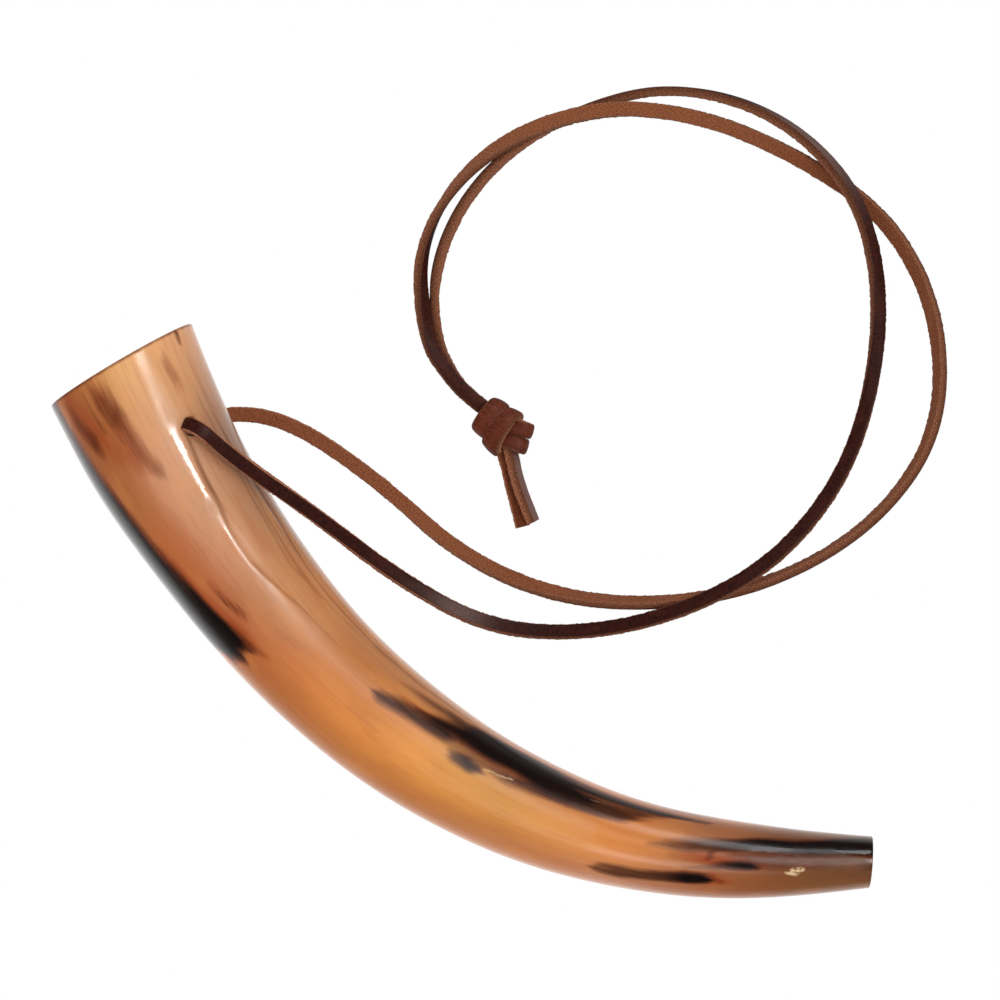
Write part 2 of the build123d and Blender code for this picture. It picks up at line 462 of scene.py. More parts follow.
def hole_cutter(name, point, away):
    """A drill with a flared shoulder, which leaves the hole's outer edge rounded."""
    profile = [(-DRILL_IN, 0), (-DRILL_IN, HOLE_RADIUS), (-HOLE_SHOULDER, HOLE_RADIUS)]
    for a in np.radians([25, 50, 72]):
        rise = -HOLE_SHOULDER + HOLE_SHOULDER * math.sin(a)
        profile.append((rise, HOLE_RADIUS + HOLE_FLARE * (1 - math.cos(a))))
    profile += [(1.2, HOLE_RADIUS + 1.5 * HOLE_FLARE), (DRILL_OUT, HOLE_RADIUS + 2.2 * HOLE_FLARE)]
    profile.append((DRILL_OUT, 0))
    across = unit(np.cross(away, [1.0, 0.3, 0.2]))
    other = np.cross(away, across)
    count = 40
    turn = np.arange(count) * 2 * math.pi / count
    circle = across * np.cos(turn)[:, None] + other * np.sin(turn)[:, None]
    rings = [point + away * rise + circle * max(radius, 0.01) for rise, radius in profile]
    faces = grid_faces(len(rings), count)
    faces += [tuple(range(count)), tuple((len(rings) - 1) * count + i for i in range(count))]
    return mesh_piece(name, np.concatenate(rings), faces)


def horn_mesh(line):
    rings = horn_rings(line)
    horn = mesh_piece("horn_body", rings.reshape(-1, 3), grid_faces(len(rings), ROUND, closed=True))
    bpy.context.view_layer.objects.active = horn
    for name, place in (("front_drill", FRONT_HOLE), ("rear_drill", REAR_HOLE)):
        drill = hole_cutter(name, *hole_at(*place))
        cut = horn.modifiers.new(name, "BOOLEAN")
        cut.operation = "DIFFERENCE"
        cut.solver = "EXACT"
        cut.object = drill
        bpy.ops.object.modifier_apply(modifier=cut.name)
        bpy.data.objects.remove(drill)
    return horn


# ---- colours of the horn

# Body colours of the horn, some with painted light: the pale pink ones on the top at 32 and 72 from the rim
# are a painted sheen. Columns: distance from the rim, degrees from the top, colour
TINTS = [
    (3, -50, "#b87044"), (3, -12, "#d2904e"), (3, 5, "#fcc88a"), (3, 30, "#f2b67e"), (3, 60, "#dea478"),
    (3, 120, "#b98050"), (3, -120, "#8a5232"), (3, 180, "#94623c"), (15, -45, "#94481c"),
    (15, -25, "#a05424"), (15, 17, "#c08a60"), (15, 35, "#be8250"), (15, 62, "#b08060"),
    # The pale pink (32, 12) and (72, 8) are a painted sheen on the top
    (32, -42, "#b46c3c"), (32, 0, "#cf885a"), (32, 12, "#e2b89c"), (32, 65, "#8c6e5c"),
    (50, 24, "#b8845c"), (72, -32, "#bc6836"), (72, 8, "#d69c78"), (72, 58, "#a47858"),
    (92, -24, "#aa5224"), (92, -4, "#b4724a"), (92, 14, "#c8946a"), (92, 40, "#bd7d48"),
    (115, -62, "#c47e4c"), (115, -44, "#aa5818"), (115, -20, "#d6824a"), (140, -62, "#d08c58"),
    (140, -44, "#aa5a1c"), (140, -20, "#ea9648"), (140, 2, "#e8954a"), (140, 14, "#a46438"),
    (140, 66, "#b2784c"), (165, -42, "#ba6e32"), (165, -14, "#f4a650"), (190, -60, "#d08c58"),
    (190, -40, "#b66c32"), (190, 2, "#f2ae52"), (190, 15, "#985e2c"), (215, -60, "#d08c62"),
    (215, -42, "#b66a38"), (215, 4, "#f6a850"), (215, 26, "#a86430"), (215, 76, "#a86c4c"),
    (240, -64, "#c68a68"), (240, 12, "#e89044"), (240, 30, "#b46a34"), (262, -50, "#a66640"),
    (262, 22, "#a66c44"), (262, 72, "#8c563c"), (285, -20, "#905026"), (305, -20, "#8a562e"),
    (305, 13, "#34241a"), (305, 58, "#885638"), (321, 62, "#3a2416"), (60, 120, "#a87450"),
    (60, -120, "#7d4a2e"), (60, 180, "#94623e"), (150, 120, "#b07a4c"), (150, 180, "#a06c42"),
    (150, -120, "#b07440"), (230, 120, "#a06c48"), (230, -120, "#a86a40"), (300, 120, "#7a4c30"),
    (300, -120, "#8a5836"),
]
TINT_REACH = 6.5  # how far one body colour spreads across the horn, in millimetres
TINT_STRETCH = 0.5  # along the horn it spreads further: 1 over this

# Streaks of colour: points of (distance, degrees, half width, strength), and softness of the edge. Most are
# pigment; two brown lines follow the relief: one is painted shade along the crease, the other a darker line
# along the groove.
BLACK_STREAKS = [
    ([(-6, -96, 14.5, 0.7), (18, -93, 15, 0.8), (45, -86, 15.3, 1), (66, -76, 12.4, 1), (84, -64, 8.4, 1),
      (95, -55, 4.6, 1), (100, -50, 2.2, 0.9)], 4.2),
    ([(66, -46, 0.5, 0.7), (78, -44, 1.6, 1), (90, -43, 3, 1), (97, -41, 2.5, 1), (101, -37, 1, 0.8)],
      2.6),
    ([(144, 21, 2.3, 0.62), (150, 25, 2.4, 0.72), (158, 28, 2.2, 0.72), (168, 31, 2.4, 0.78)], 3.6),
    ([(157, 34, 0.5, 0.4), (165, 37, 1.8, 0.8), (175, 41, 3.3, 0.95), (186, 46, 4.6, 1),
      (198, 50, 5.2, 1), (208, 49, 4.6, 1), (216, 46, 3, 0.92), (224, 44, 1.5, 0.75)], 3.6),
    ([(192, 24, 0.5, 0.4), (200, 27, 1.5, 0.6), (208, 33, 2.6, 0.72), (218, 37, 3.6, 0.74),
      (228, 39, 3.8, 0.72), (236, 39, 3.4, 0.68), (244, 46, 2.1, 0.6), (252, 53, 0.9, 0.45)], 3.2),
    ([(178, 52, 1.4, 0.7), (190, 57, 1.8, 0.95), (200, 60, 1.7, 0.95), (210, 58, 1.2, 0.9),
      (222, 57, 0.8, 0.85), (240, 57, 0.6, 0.88), (256, 57, 0.6, 0.82), (268, 59, 0.4, 0.5)], 1.8),
    ([(146, 47, 0.5, 0.35), (156, 50, 1.4, 0.5), (166, 53, 1.9, 0.6), (176, 55, 2.1, 0.65),
      (186, 58, 2, 0.8)], 3.4),
    ([(176, 14, 2, 0.55), (181, 16, 2.4, 0.8), (185, 18, 1.4, 0.7)], 3),
    ([(236, -36, 2.6, 0.46), (241, -36, 2.8, 0.56), (248, -34, 2.3, 0.62), (256, -32, 2, 0.74),
      (263, -30, 2.2, 1), (268, -28, 1.9, 1)], 2.4),
    ([(260, -14, 0.5, 0.3), (269, -9, 0.9, 0.5), (276, -5, 1.2, 0.9), (281, -3, 1.5, 1),
      (284, -2, 1.2, 1), (286, -1, 0.5, 0.7)], 2.2),
    ([(249, 9, 1.3, 0.3), (255, 13, 1.8, 0.45), (262, 17, 2.2, 0.55), (270, 22, 2.3, 0.66),
      (278, 27, 2.2, 0.85), (286, 31, 2.6, 1), (296, 32, 2.8, 1), (306, 33, 3, 1), (314, 38, 3.6, 1),
      (322, 42, 4.2, 1), (330, 44, 4.4, 1)], 2.8),
    ([(178, 60, 1.4, 0.5), (200, 63, 2.4, 0.75), (216, 62, 2.6, 0.75), (232, 60, 2.2, 0.7),
      (250, 60, 1.6, 0.6), (268, 60, 1, 0.4)], 3),
    ([(321, -14, 0.3, 0.5), (326, -12, 0.6, 0.7)], 1.2),
    ([(320, -3, 0.3, 0.4), (326, -2, 0.6, 0.6)], 1.2),
]
BROWN_STREAKS = [
    ([(5, -18, 0.8, 0.3), (10, -17, 2.4, 0.66), (16, -15, 2.8, 0.74), (22, -13, 1.8, 0.56),
      (30, -11, 2.4, 0.42), (37, -7, 2.2, 0.42), (41, -4, 1, 0.2)], 4.6),
    ([(1, -25, 0.4, 0.5), (12, -23, 0.6, 0.7), (24, -20, 0.3, 0.3)], 1.6),
    ([(6, -50, 0.8, 0.3), (13, -47, 2, 0.66), (20, -42, 2.5, 0.78), (25, -39, 1.2, 0.5)], 3.6),
    ([(5, -31, 0.4, 0.4), (19, -28, 0.6, 0.5)], 1.8),
    ([(6, 3, 0.4, 0.15), (24, 6, 0.4, 0.25)], 2),
    ([(5, 35, 1.5, 0.36), (13, 37, 1.4, 0.34)], 3.4),
    ([(-3, 55, 1, 0.9), (2, 54, 0.6, 0.7)], 1.6),
    ([(16, -58, 1.4, 0.4), (34, -52, 1, 0.5), (52, -47, 1, 0.6), (66, -44, 1.2, 0.7),
      (80, -40, 1.2, 0.85), (92, -36, 1.2, 0.9), (102, -32, 1, 0.85), (107, -29, 0.4, 0.4)], 2),
    ([(78, -24, 0.2, 0.5), (86, -23, 0.45, 0.75), (92, -21, 0.15, 0.5)], 1.1),
    ([(81, -20.5, 0.2, 0.5), (88, -19.5, 0.4, 0.7), (93, -18, 0.1, 0.4)], 1),
    ([(86, -17, 0.15, 0.5), (93, -15.5, 0.2, 0.6)], 1),
    ([(100, -67, 0.5, 0.5), (121, -66, 0.2, 0.3)], 1.4),
    ([(66, -39, 0.2, 0.3), (72, -39, 0.2, 0.3)], 1.2),
    ([(102, -3, 1, 0.16), (113, 0, 1, 0.16)], 3.4),
    ([(150, 20, 1.4, 0.3), (170, 27, 2.2, 0.5), (186, 29, 2.4, 0.7), (196, 24, 2.2, 0.75),
      (206, 28, 2.2, 0.75), (216, 32, 1.6, 0.5)], 3),
    ([(270, 2, 0.5, 0.9), (270, 14, 0.6, 0.8)], 1.8),
    ([(262, -20, 0.8, 0.5), (272, -24, 0.8, 0.7), (273.5, -32, 0.6, 0.6)], 1.6),
    ([(278, 12, 1.4, 0.5), (286, 10, 3, 0.7), (298, 10, 3.2, 0.8), (308, 10, 2.4, 0.65),
      (316, 8, 1, 0.3)], 3.6),
    ([(22, 50, 0.3, 0.3), (45, 53, 0.4, 0.4), (70, 50, 0.4, 0.45), (90, 46, 0.4, 0.4),
      (105, 49, 0.3, 0.3)], 1.6),
    # A darker brown line that runs along the groove
    ([(5, 57, 0.3, 0.4), (30, 58, 0.4, 0.5), (50, 62, 0.6, 0.7), (60, 65, 0.7, 0.8), (75, 66, 0.7, 0.8),
      (84, 63, 0.4, 0.6), (100, 60, 0.4, 0.5), (125, 61, 0.4, 0.5), (150, 64, 0.3, 0.4)], 1.6),
    ([(50, 58, 0.3, 0.35), (75, 54, 0.4, 0.4), (95, 50, 0.4, 0.4), (115, 53, 0.3, 0.35),
      (135, 57, 0.2, 0.3)], 1.6),
    ([(130, 59, 0.3, 0.4), (165, 66, 0.5, 0.5), (200, 68, 0.5, 0.5)], 1.8),
    # Painted shade: a brown line along the crease's step, just below the highlight
    ([(30, 27, 0.5, 0.35), (36, 24, 0.8, 0.6), (50, 21.5, 0.9, 0.6), (60, 19.5, 0.7, 0.5),
      (67, 17, 0.5, 0.45), (74, 16, 0.5, 0.4), (80, 16, 0.5, 0.45), (86, 18.5, 0.5, 0.45),
      (92, 22, 0.5, 0.4), (100, 25, 0.5, 0.35), (112, 28, 0.4, 0.3), (125, 29, 0.3, 0.2)], 1.8),
]
RED_STREAKS = [
    ([(60, -44, 1.4, 0.4), (80, -38, 2, 0.65), (97, -31, 2, 0.7), (107, -28, 1.2, 0.4)], 3.6),
    ([(78, -22, 1.2, 0.35), (92, -18, 1.4, 0.35)], 3),
    ([(258, 2, 1.2, 0.3), (269, 2, 2.2, 0.7), (280, 0, 2.4, 0.6), (286, 1, 1.6, 0.5)], 3),
    ([(264, -22, 1.2, 0.4), (271, -27, 2.4, 0.7), (274, -31, 1.8, 0.6)], 2.8),
    ([(277, -8, 0.6, 0.5), (284, -5, 0.7, 0.55)], 1.8),
    ([(152, 33, 1.2, 0.5), (170, 36, 1.8, 0.66), (185, 36, 2.2, 0.66), (202, 36, 2.2, 0.6),
      (216, 37, 1.6, 0.4)], 3),
    ([(6, -46, 2.6, 0.5), (20, -34, 3.4, 0.5), (32, -18, 2.6, 0.4)], 6),
    ([(8, -18, 3, 0.5), (22, -14, 3, 0.5), (36, -8, 2.2, 0.4)], 4.6),
    ([(8, 36, 2, 0.3), (16, 38, 2, 0.3)], 5),
    ([(60, 36, 2, 0.2), (78, 34, 2.6, 0.25)], 6),
]
PALE_STREAKS = [
    ([(295.5, -13, 0.5, 0.9), (298.5, -12, 1.5, 1), (301, -8, 0.7, 0.9)], 1.3),
    ([(187, 20, 0.2, 0.9), (190, 22, 0.25, 0.9), (193, 22.5, 0.25, 0.9), (197, 25.5, 0.2, 0.9)], 0.8),
    ([(223, 44, 0.25, 0.4), (233, 47, 0.25, 0.4)], 1.1),
]

# Where the horn is polished to a gloss and where it is dull: elsewhere it has a soft sheen
POLISHED = [
    ([(4, 25, 3, 0.1), (28, 21, 3, 0.2)], 5),
    ([(31.5, 20.5, 3.4, 1), (51, 14.5, 2.8, 1)], 2),
    ([(66, 12, 1, 0.9), (74, 10, 0.7, 0.8)], 2.4),
    ([(284, 22, 1.2, 0.6), (290, 24, 1.6, 0.7), (297, 27, 1, 0.6)], 3),
    ([(313, 29, 0.6, 0.8), (318, 25, 1.2, 0.9), (326, 21, 1.6, 0.9)], 1.6),
    ([(223, -23, 0.5, 0.3), (232, -16, 1.2, 0.45), (242, -14, 1.3, 0.5), (252, -15, 1.2, 0.45),
      (264, -18, 0.5, 0.3)], 2.4),
]
DULL = [
    ([(8, 23, 2, 0.3), (24, 21, 2, 0.8)], 7),
    ([(56.5, 14, 1.2, 0.9), (59.5, 13, 1.2, 0.9)], 4.4),
    ([(86, 12, 1, 0.6), (96, 13, 1, 0.6)], 6),
    ([(104, 12, 7, 0.4), (180, 8, 8, 0.45), (225, 2, 6, 0.45)], 6),
    ([(284, 6, 1.5, 0.3), (300, 6, 2, 0.55), (322, 5, 2, 0.55)], 4.5),
]

RIM_BROWN = 0.7  # how brown the rim's sawn face is


def streaks(place, table, stretch=0.65, ragged=1.0, soft=1.0):
    """A table's streaks at each point, 0 outside them and their strength well inside.

    stretch below 1 draws a streak's ends out along the horn's fibres, ragged roughens them, and soft
    widens every edge.
    """
    distance, angle, _, half_width = place
    scale = half_width * math.pi / 180
    aside = angle * scale
    warp = 0.8 * np.sin(aside * 1.1 + 0.6) + 0.5 * np.sin(aside * 2.3 + distance * 0.03)
    warp += 0.3 * np.sin(aside * 4.7)
    sway = 0.22 * np.sin(distance * 0.09 + 1.0) + 0.10 * np.sin(distance * 0.27 + angle * 0.07)
    distance = distance + warp * ragged
    angle = angle + sway / scale * ragged
    clear = np.ones(len(distance))
    for path, softness in table:
        best = np.zeros(len(distance))
        for (*_, r0, k0), (*_, r1, k1), t, gap in path_runs(distance, angle, scale, path, stretch):
            depth = r0 + (r1 - r0) * t - gap
            best = np.maximum(best, smooth_step(0.5 + depth / softness / soft) * (k0 + (k1 - k0) * t))
        clear *= 1 - best
    return 1 - clear


def tint_with_painted_sheen(place):
    """The body colour at each point, with its painted sheen, blended from the colours round it."""
    distance, angle, _, half_width = place
    total = np.zeros((len(distance), 3))
    weight = np.full(len(distance), 1e-9)
    for s, a, colour in TINTS:
        turn = (angle - a + 180) % 360 - 180
        gap = np.hypot((distance - s) * TINT_STRETCH, turn * half_width * math.pi / 180)
        share = np.exp(-0.5 * (gap / TINT_REACH) ** 2) + 1e-6 / (1 + gap)
        total += share[:, None] * np.array(hex_colour(colour)[:3])
        weight += share
    return total / weight[:, None]


def paint_horn(horn, line):
    """Stores what the horn's material reads: place on the horn, body colour with its painted sheen, and
    streaks with a line of painted shade along the crease.
    """
    points = np.zeros(len(horn.data.vertices) * 3, np.float32)
    horn.data.vertices.foreach_get("co", points)
    points = points.reshape(-1, 3).astype(float) / MM
    place = line.place(points)
    distance, angle, radius, half_width = place
    turn = np.radians(angle)
    store(horn, "horn_spot", distance, np.sin(turn) * radius * half_width, np.cos(turn) * radius * half_width)
    in_hollow = 1 - smooth_step((radius - 0.80) / 0.14)
    store(horn, "horn_tint", tint_with_painted_sheen(place), in_hollow)
    softness = ((BLACK_STREAKS, 1.35), (BROWN_STREAKS, 1.0), (RED_STREAKS, 1.2))
    black, brown, red = [streaks(place, table, soft=soft) for table, soft in softness]
    from_rim = points[:, 0] - BELL_CENTRE[0]
    brown = np.maximum(brown, RIM_BROWN * smooth_step((0.9 - from_rim) / 0.5))
    one = np.ones(len(distance))
    store(horn, "horn_marks", black, brown, red, one)
    pale = [streaks(place, table, stretch=1.0, ragged=0.25) for table in (PALE_STREAKS, POLISHED, DULL)]
    store(horn, "horn_pale", *pale, one)


# ---- lace


def read_route(points):
    """Points along the smooth NURBS line that has a route's points as its control points."""
    curve = bpy.data.curves.new("route", "CURVE")
    curve.dimensions = "3D"
    spline = curve.splines.new("NURBS")
    spline.points.add(len(points) - 1)
    for target, point in zip(spline.points, points):
        target.co = (*point, 1.0)
    spline.order_u = 3
    spline.use_endpoint_u = True
    spline.resolution_u = 60
    bare = bpy.data.objects.new("route", curve)
    mesh = bpy.data.meshes.new_from_object(bare)
    line = np.array([v.co for v in mesh.vertices], float)
    bpy.data.meshes.remove(mesh)
    bpy.data.curves.remove(curve)
    return line


def picked(at, along, points):
    """Points at the given distances along a line, each between the two that are beside it."""
    return np.column_stack([np.interp(at, along, column) for column in points.T])


def strip_section(width, thickness, crown):
    """The strip's outline: points (across, up), outward normals, and which side each is on.

    Side 0 is the grain, 1 a cut edge and 2 the flesh side.
    """
    corners = [(1, 1, 0.75), (1, -1, 0.45), (-1, -1, 0.45), (-1, 1, 0.75)]
    points = []
    half_x = width / 2
    half_y = thickness / 2
    start = [90, 0, -90, -180]
    for (sx, sy, r), a0 in zip(corners, start):
        centre = (sx * (half_x - r), sy * (half_y - r))
        for a in np.linspace(a0, a0 - 90, 5):
            a = math.radians(a)
            points.append((centre[0] + r * math.cos(a), centre[1] + r * math.sin(a)))
    loop = np.array(points + points[:1])
    along = chord(loop)
    at = np.linspace(0, along[-1], 41)[:-1]
    outline = picked(at, along, loop)
    away = np.roll(outline, -1, axis=0) - np.roll(outline, 1, axis=0)
    away = unit(np.column_stack([-away[:, 1], away[:, 0]]))
    away *= np.sign((away * outline).sum(axis=1))[:, None]
    outline[:, 1] += crown * (1 - (outline[:, 0] / half_x) ** 2) * (outline[:, 1] > 0)
    edge = smooth_step((np.abs(outline[:, 0]) - (half_x - 0.62)) / 0.5)
    side = np.where(outline[:, 1] < 0, 2 - edge, edge)
    return outline, away, side


def blurred_noise(random, rows, columns, along, around):
    """Seeded noise with unit spread, blurred by so many rows and columns, closed round the strip."""
    field = np.fft.rfft2(random.standard_normal((rows, columns)))
    y = np.fft.fftfreq(rows)[:, None] * along
    x = np.fft.rfftfreq(columns)[None, :] * around
    field = np.fft.irfft2(field * np.exp(-2 * math.pi**2 * (x * x + y * y) / 4), (rows, columns))
    return field / field.std()


# Unevenness of the leather: height, blur along and round the strip in cells, and whether it is only on
# the cut edges and the flesh side
UNEVENNESS = [(0.075, 1.2, 1.2, True), (0.02, 4, 4, True), (0.01, 9, 5, False), (0.02, 60, 6, False)]
CELL = 0.4  # length for one step round the strip, in its material's coordinates
CAP_BULGE = 0.12  # how far the middle of a cut end stands out
TABLE_CLEARANCE = 0.02
SHADE_START = 60  # how far from its start a strip's cut edge begins to change from its painted lit colour to its painted shaded one
SHADE_LENGTH = 120


def strip_axes(line, grain, step):
    """A line again in even steps: the distance along it, and its points with their three directions."""
    along = chord(line)
    at = np.linspace(0, along[-1], max(8, round(along[-1] / step)))
    line = picked(at, along, line)
    grain = picked(at, along, grain)
    ahead = directions(line)
    grain = unit(grain - ahead * (grain * ahead).sum(axis=1, keepdims=True))
    return at, (line, ahead, np.cross(ahead, grain), grain)


def strip_points(random, axes, section, fuzz):
    """The strip's rings of points, made uneven, and the middles of its two ends."""
    line, ahead, across, grain = axes
    outline, away, side = section
    rough = smooth_step(side) * fuzz
    bumps = np.zeros((len(line), len(side)))
    for height, lengthwise, around, only_rough in UNEVENNESS:
        noise = height * blurred_noise(random, *bumps.shape, lengthwise, around)
        bumps += noise * rough if only_rough else noise
    radius = outline[None] + away[None] * bumps[..., None]
    points = line[:, None] + across[:, None] * radius[..., :1] + grain[:, None] * radius[..., 1:]
    caps = [line[0] - ahead[0] * CAP_BULGE, line[-1] + ahead[-1] * CAP_BULGE]
    return np.concatenate([points.reshape(-1, 3), caps])


def strip_faces(rows, columns):
    faces = grid_faces(rows, columns)
    for cap, ring in ((rows * columns, 0), (rows * columns + 1, (rows - 1) * columns)):
        faces += [(cap, ring + j, ring + (j + 1) % columns) for j in range(columns)]
    return faces


def paint_strip(piece, spot, lowness, tone, edge):
    """Stores what the lace's material reads, painted light and shade on the cut edges among it. lowness is 0
    at the grain side and 1 at the flesh side.
    """
    store(piece, "lace_spot", spot)
    if callable(tone):
        tone = tone(spot[:, 0])
    store(piece, "lace_tone_and_light", np.zeros((len(spot), 3)) + tone)
    # Painted light and shade on the cut edges: lit near the start, shaded further along, and darker towards
    # the grain side
    far = smooth_step((spot[:, 0] - SHADE_START) / SHADE_LENGTH)
    pale = edge[0] * (1 - far) + edge[1] * far * (0.25 + 1.15 * lowness)
    store(piece, "lace_edge", *[np.minimum(pale, 1)] * 3)


def strip(name, line, grain, seed, step=LACE_STEP, fuzz=1.0, offset=0.0, width=LACE_WIDTH, crown=0.12,
          tone=(0.0, 0.5, 0.0), edge=(0.8, 0.8)):
    """A leather strip along a line in millimetres, its grain side facing the given directions.

    fuzz scales its roughness, and offset is where its material's coordinates start. tone has how worn
    and lit the grain side is, how lit the flesh side is and how much painted sheen the grain side has,
    or gives them for distances along the strip. edge has how pale the cut edges are painted, as light
    and shade, near its start and far from it.
    """
    random = np.random.default_rng(seed)
    at, axes = strip_axes(line, grain, step)
    at = at + offset
    section = strip_section(width, LACE_THICKNESS, crown)
    outline, _, side = section
    rows, columns = len(at), len(side)
    points = strip_points(random, axes, section, fuzz)
    hairs, hair_faces, hair_spot = fibres(random, axes, section, len(points), at, fuzz)
    points = np.concatenate([points, hairs])
    points[:, 2] = np.maximum(points[:, 2], TABLE_CLEARANCE)  # soft leather is pressed flat on the table
    piece = mesh_piece(name, points, strip_faces(rows, columns) + hair_faces)
    around = np.tile(np.arange(columns) * CELL, rows)
    spot = np.column_stack([np.repeat(at, columns), around, np.tile(side, rows)])
    lowness = np.ones(len(points))
    lowness[: len(spot)] = np.tile(smooth_step(0.5 - outline[:, 1] / LACE_THICKNESS), rows)
    spot = np.concatenate([spot, [(at[0], 0, 1), (at[-1], 0, 1)], hair_spot])
    paint_strip(piece, spot, lowness, tone, edge)
    return piece


HAIRS_PER_MM = 3.2
HAIR_RADIUS = 0.075
HAIR_ROOT = 0.08  # how deep a loose fibre's root lies in the strip
HAIR_SIDE = 1.35  # between a cut edge and the flesh side


def fibres(random, axes, section, first, at, fuzz):
    """Loose fibres that stand out of the strip's cut edges and flesh side, as thin spikes.

    axes has each ring's middle and its three directions, and first is the number of the first point.
    """
    line, ahead, across, grain = axes
    outline, away, side = section
    count = int(HAIRS_PER_MM * (at[-1] - at[0]) * fuzz)
    rough = np.flatnonzero(side > 0.7)
    weight = np.where(np.abs(side[rough] - 1) < 0.45, 3.0, 1.0)  # most of them are on the edges
    ring = random.integers(2, len(line) - 2, count)
    spot = random.choice(rough, count, p=weight / weight.sum())
    root = line[ring] + across[ring] * outline[spot, :1] + grain[ring] * outline[spot, 1:]
    out = across[ring] * away[spot, :1] + grain[ring] * away[spot, 1:]
    lean = unit(out + 0.55 * random.standard_normal((count, 3)))
    length = 0.22 + random.exponential(0.16, count).clip(0, 0.75)
    root = root - out * HAIR_ROOT
    a = unit(np.cross(lean, ahead[ring] + 0.01))
    b = np.cross(lean, a)
    corners = []
    for turn in np.radians([0, 120, 240]):
        corners.append(root + (a * math.cos(turn) + b * math.sin(turn)) * HAIR_RADIUS)
    corners.append(root + lean * (length[:, None] + HAIR_ROOT))
    points = np.stack(corners, axis=1).reshape(-1, 3)
    faces = []
    for k in range(first, first + 4 * count, 4):
        faces += [(k, k + 1, k + 3), (k + 1, k + 2, k + 3), (k + 2, k, k + 3), (k, k + 2, k + 1)]
    marks = np.column_stack([at[ring], spot * CELL, np.full(count, HAIR_SIDE)])
    return points, faces, np.repeat(marks, 4, axis=0)


def rolled(line, table):
    """The grain side's direction along a strand, from its table of rolls."""
    ahead = directions(line)
    up = np.array([0.0, 0.0, 1.0])
    flat = unit(up - ahead * (ahead @ up)[:, None])
    outside = np.cross(ahead, flat)
    at, degrees = np.array(table, float).T
    lean = np.radians(np.interp(chord(line), at, degrees))[:, None]
    return flat * np.cos(lean) + outside * np.sin(lean)


def folded(line, grain):
    """Grain directions that turn round one fold at a strand's start, and follow on as given after it."""
    share = 1 - smooth_step((chord(line) - FOLD_LENGTH) / FOLD_EASE)[:, None]
    return unit(np.cross(directions(line), FOLD_AXIS) * share + grain * (1 - share))


def soft_table(table):
    """A roll table with its corners eased, so that the strip twists smoothly."""
    at, degrees = np.array(table, float).T
    fine = np.arange(0, at[-1] + 1, 2.0)
    values = np.interp(fine, at, degrees)
    kernel = np.hanning(9)
    padded = np.pad(values, 4, mode="edge")
    return list(zip(fine, np.convolve(padded, kernel / kernel.sum(), mode="valid")))


def bell_curve(at, middle, spread):
    return np.exp(-0.5 * ((at - middle) / spread) ** 2)


def worn_share(at):
    """Both strands' grain side is a little more worn near the knot."""
    return 0.1 + 0.1 * smooth_step((at - 560) / 40)


def front_tone(at):
    """The front strand's grain side has a painted sheen, a grey highlight in its colour, in two places."""
    sheen = 0.6 * bell_curve(at, 128, 9) + 0.8 * bell_curve(at, 402, 20)
    return np.column_stack([worn_share(at), 0 * at + 0.85, sheen])


def rear_tone(at):
    """The rear strand's flesh side is painted lit near the bell and at the top of the loop, and painted
    shaded between.
    """
    darker = smooth_step((at - 60) / 120) * (1 - smooth_step((at - 390) / 60))
    return np.column_stack([worn_share(at), 0.9 - 0.35 * darker, 0 * at])


# Knot: its own frame has u along the knot, v to the left of it and n up
KNOT_CENTRE = np.array([-58.4, 44.8, 6.2])
KNOT_HEADING = math.radians(25.7)
KNOT_AXES = np.array([
    [math.cos(KNOT_HEADING), math.sin(KNOT_HEADING), 0],
    [-math.sin(KNOT_HEADING), math.cos(KNOT_HEADING), 0],
    [0, 0, 1],
])
COIL_SQUARENESS = 0.80  # below 1 the turns are squarer than an ellipse
COIL_SHRINK = 0.34  # how much smaller a turn is where it starts, inside the knot


def coil(middle, low, high, tilt, bow, height, lean):
    """One turn of the strip round the knot, starting inside it: its line and grain directions.

    middle is the turn's place along the knot, low and high its reach across it, tilt how far its
    high end lies forwards, bow how far its top lies back, and lean how far the grain side is turned
    back so that the front edge shows.
    """
    turn = np.radians(np.arange(-205, 190, 5.0))
    rise = smooth_step((turn - turn[0]) / math.radians(90))
    reach = (high - low) / 2 - LACE_THICKNESS / 2
    lift = height / 2 - LACE_THICKNESS / 2
    shrink = 1 - COIL_SHRINK * (1 - rise)
    c = np.cos(turn)
    s = np.sin(turn)
    v = (low + high) / 2 + reach * np.sign(s) * np.abs(s) ** COIL_SQUARENESS * shrink
    n = lift * np.sign(c) * np.abs(c) ** COIL_SQUARENESS * shrink
    u = middle + tilt * s - bow * c + 0.4 * (1 - rise)
    grain = unit(np.column_stack([0 * turn, s / reach, c / lift]))
    grain[:, 0] = -math.tan(math.radians(lean))
    return KNOT_CENTRE + np.column_stack([u, v, n]) @ KNOT_AXES, unit(grain @ KNOT_AXES)


# The knot's two turns: coil's values, the strip's width and its seed
KNOT_COILS = {
    "knot_coil_rear": ((-3.9, -6.2, 7.0, 0.3, 1.1, 12.2, 6.0), 6.2, 31),
    "knot_coil_front": ((1.9, -8.8, 7.0, -0.1, 1.5, 12.6, 14.0), 6.7, 32),
}
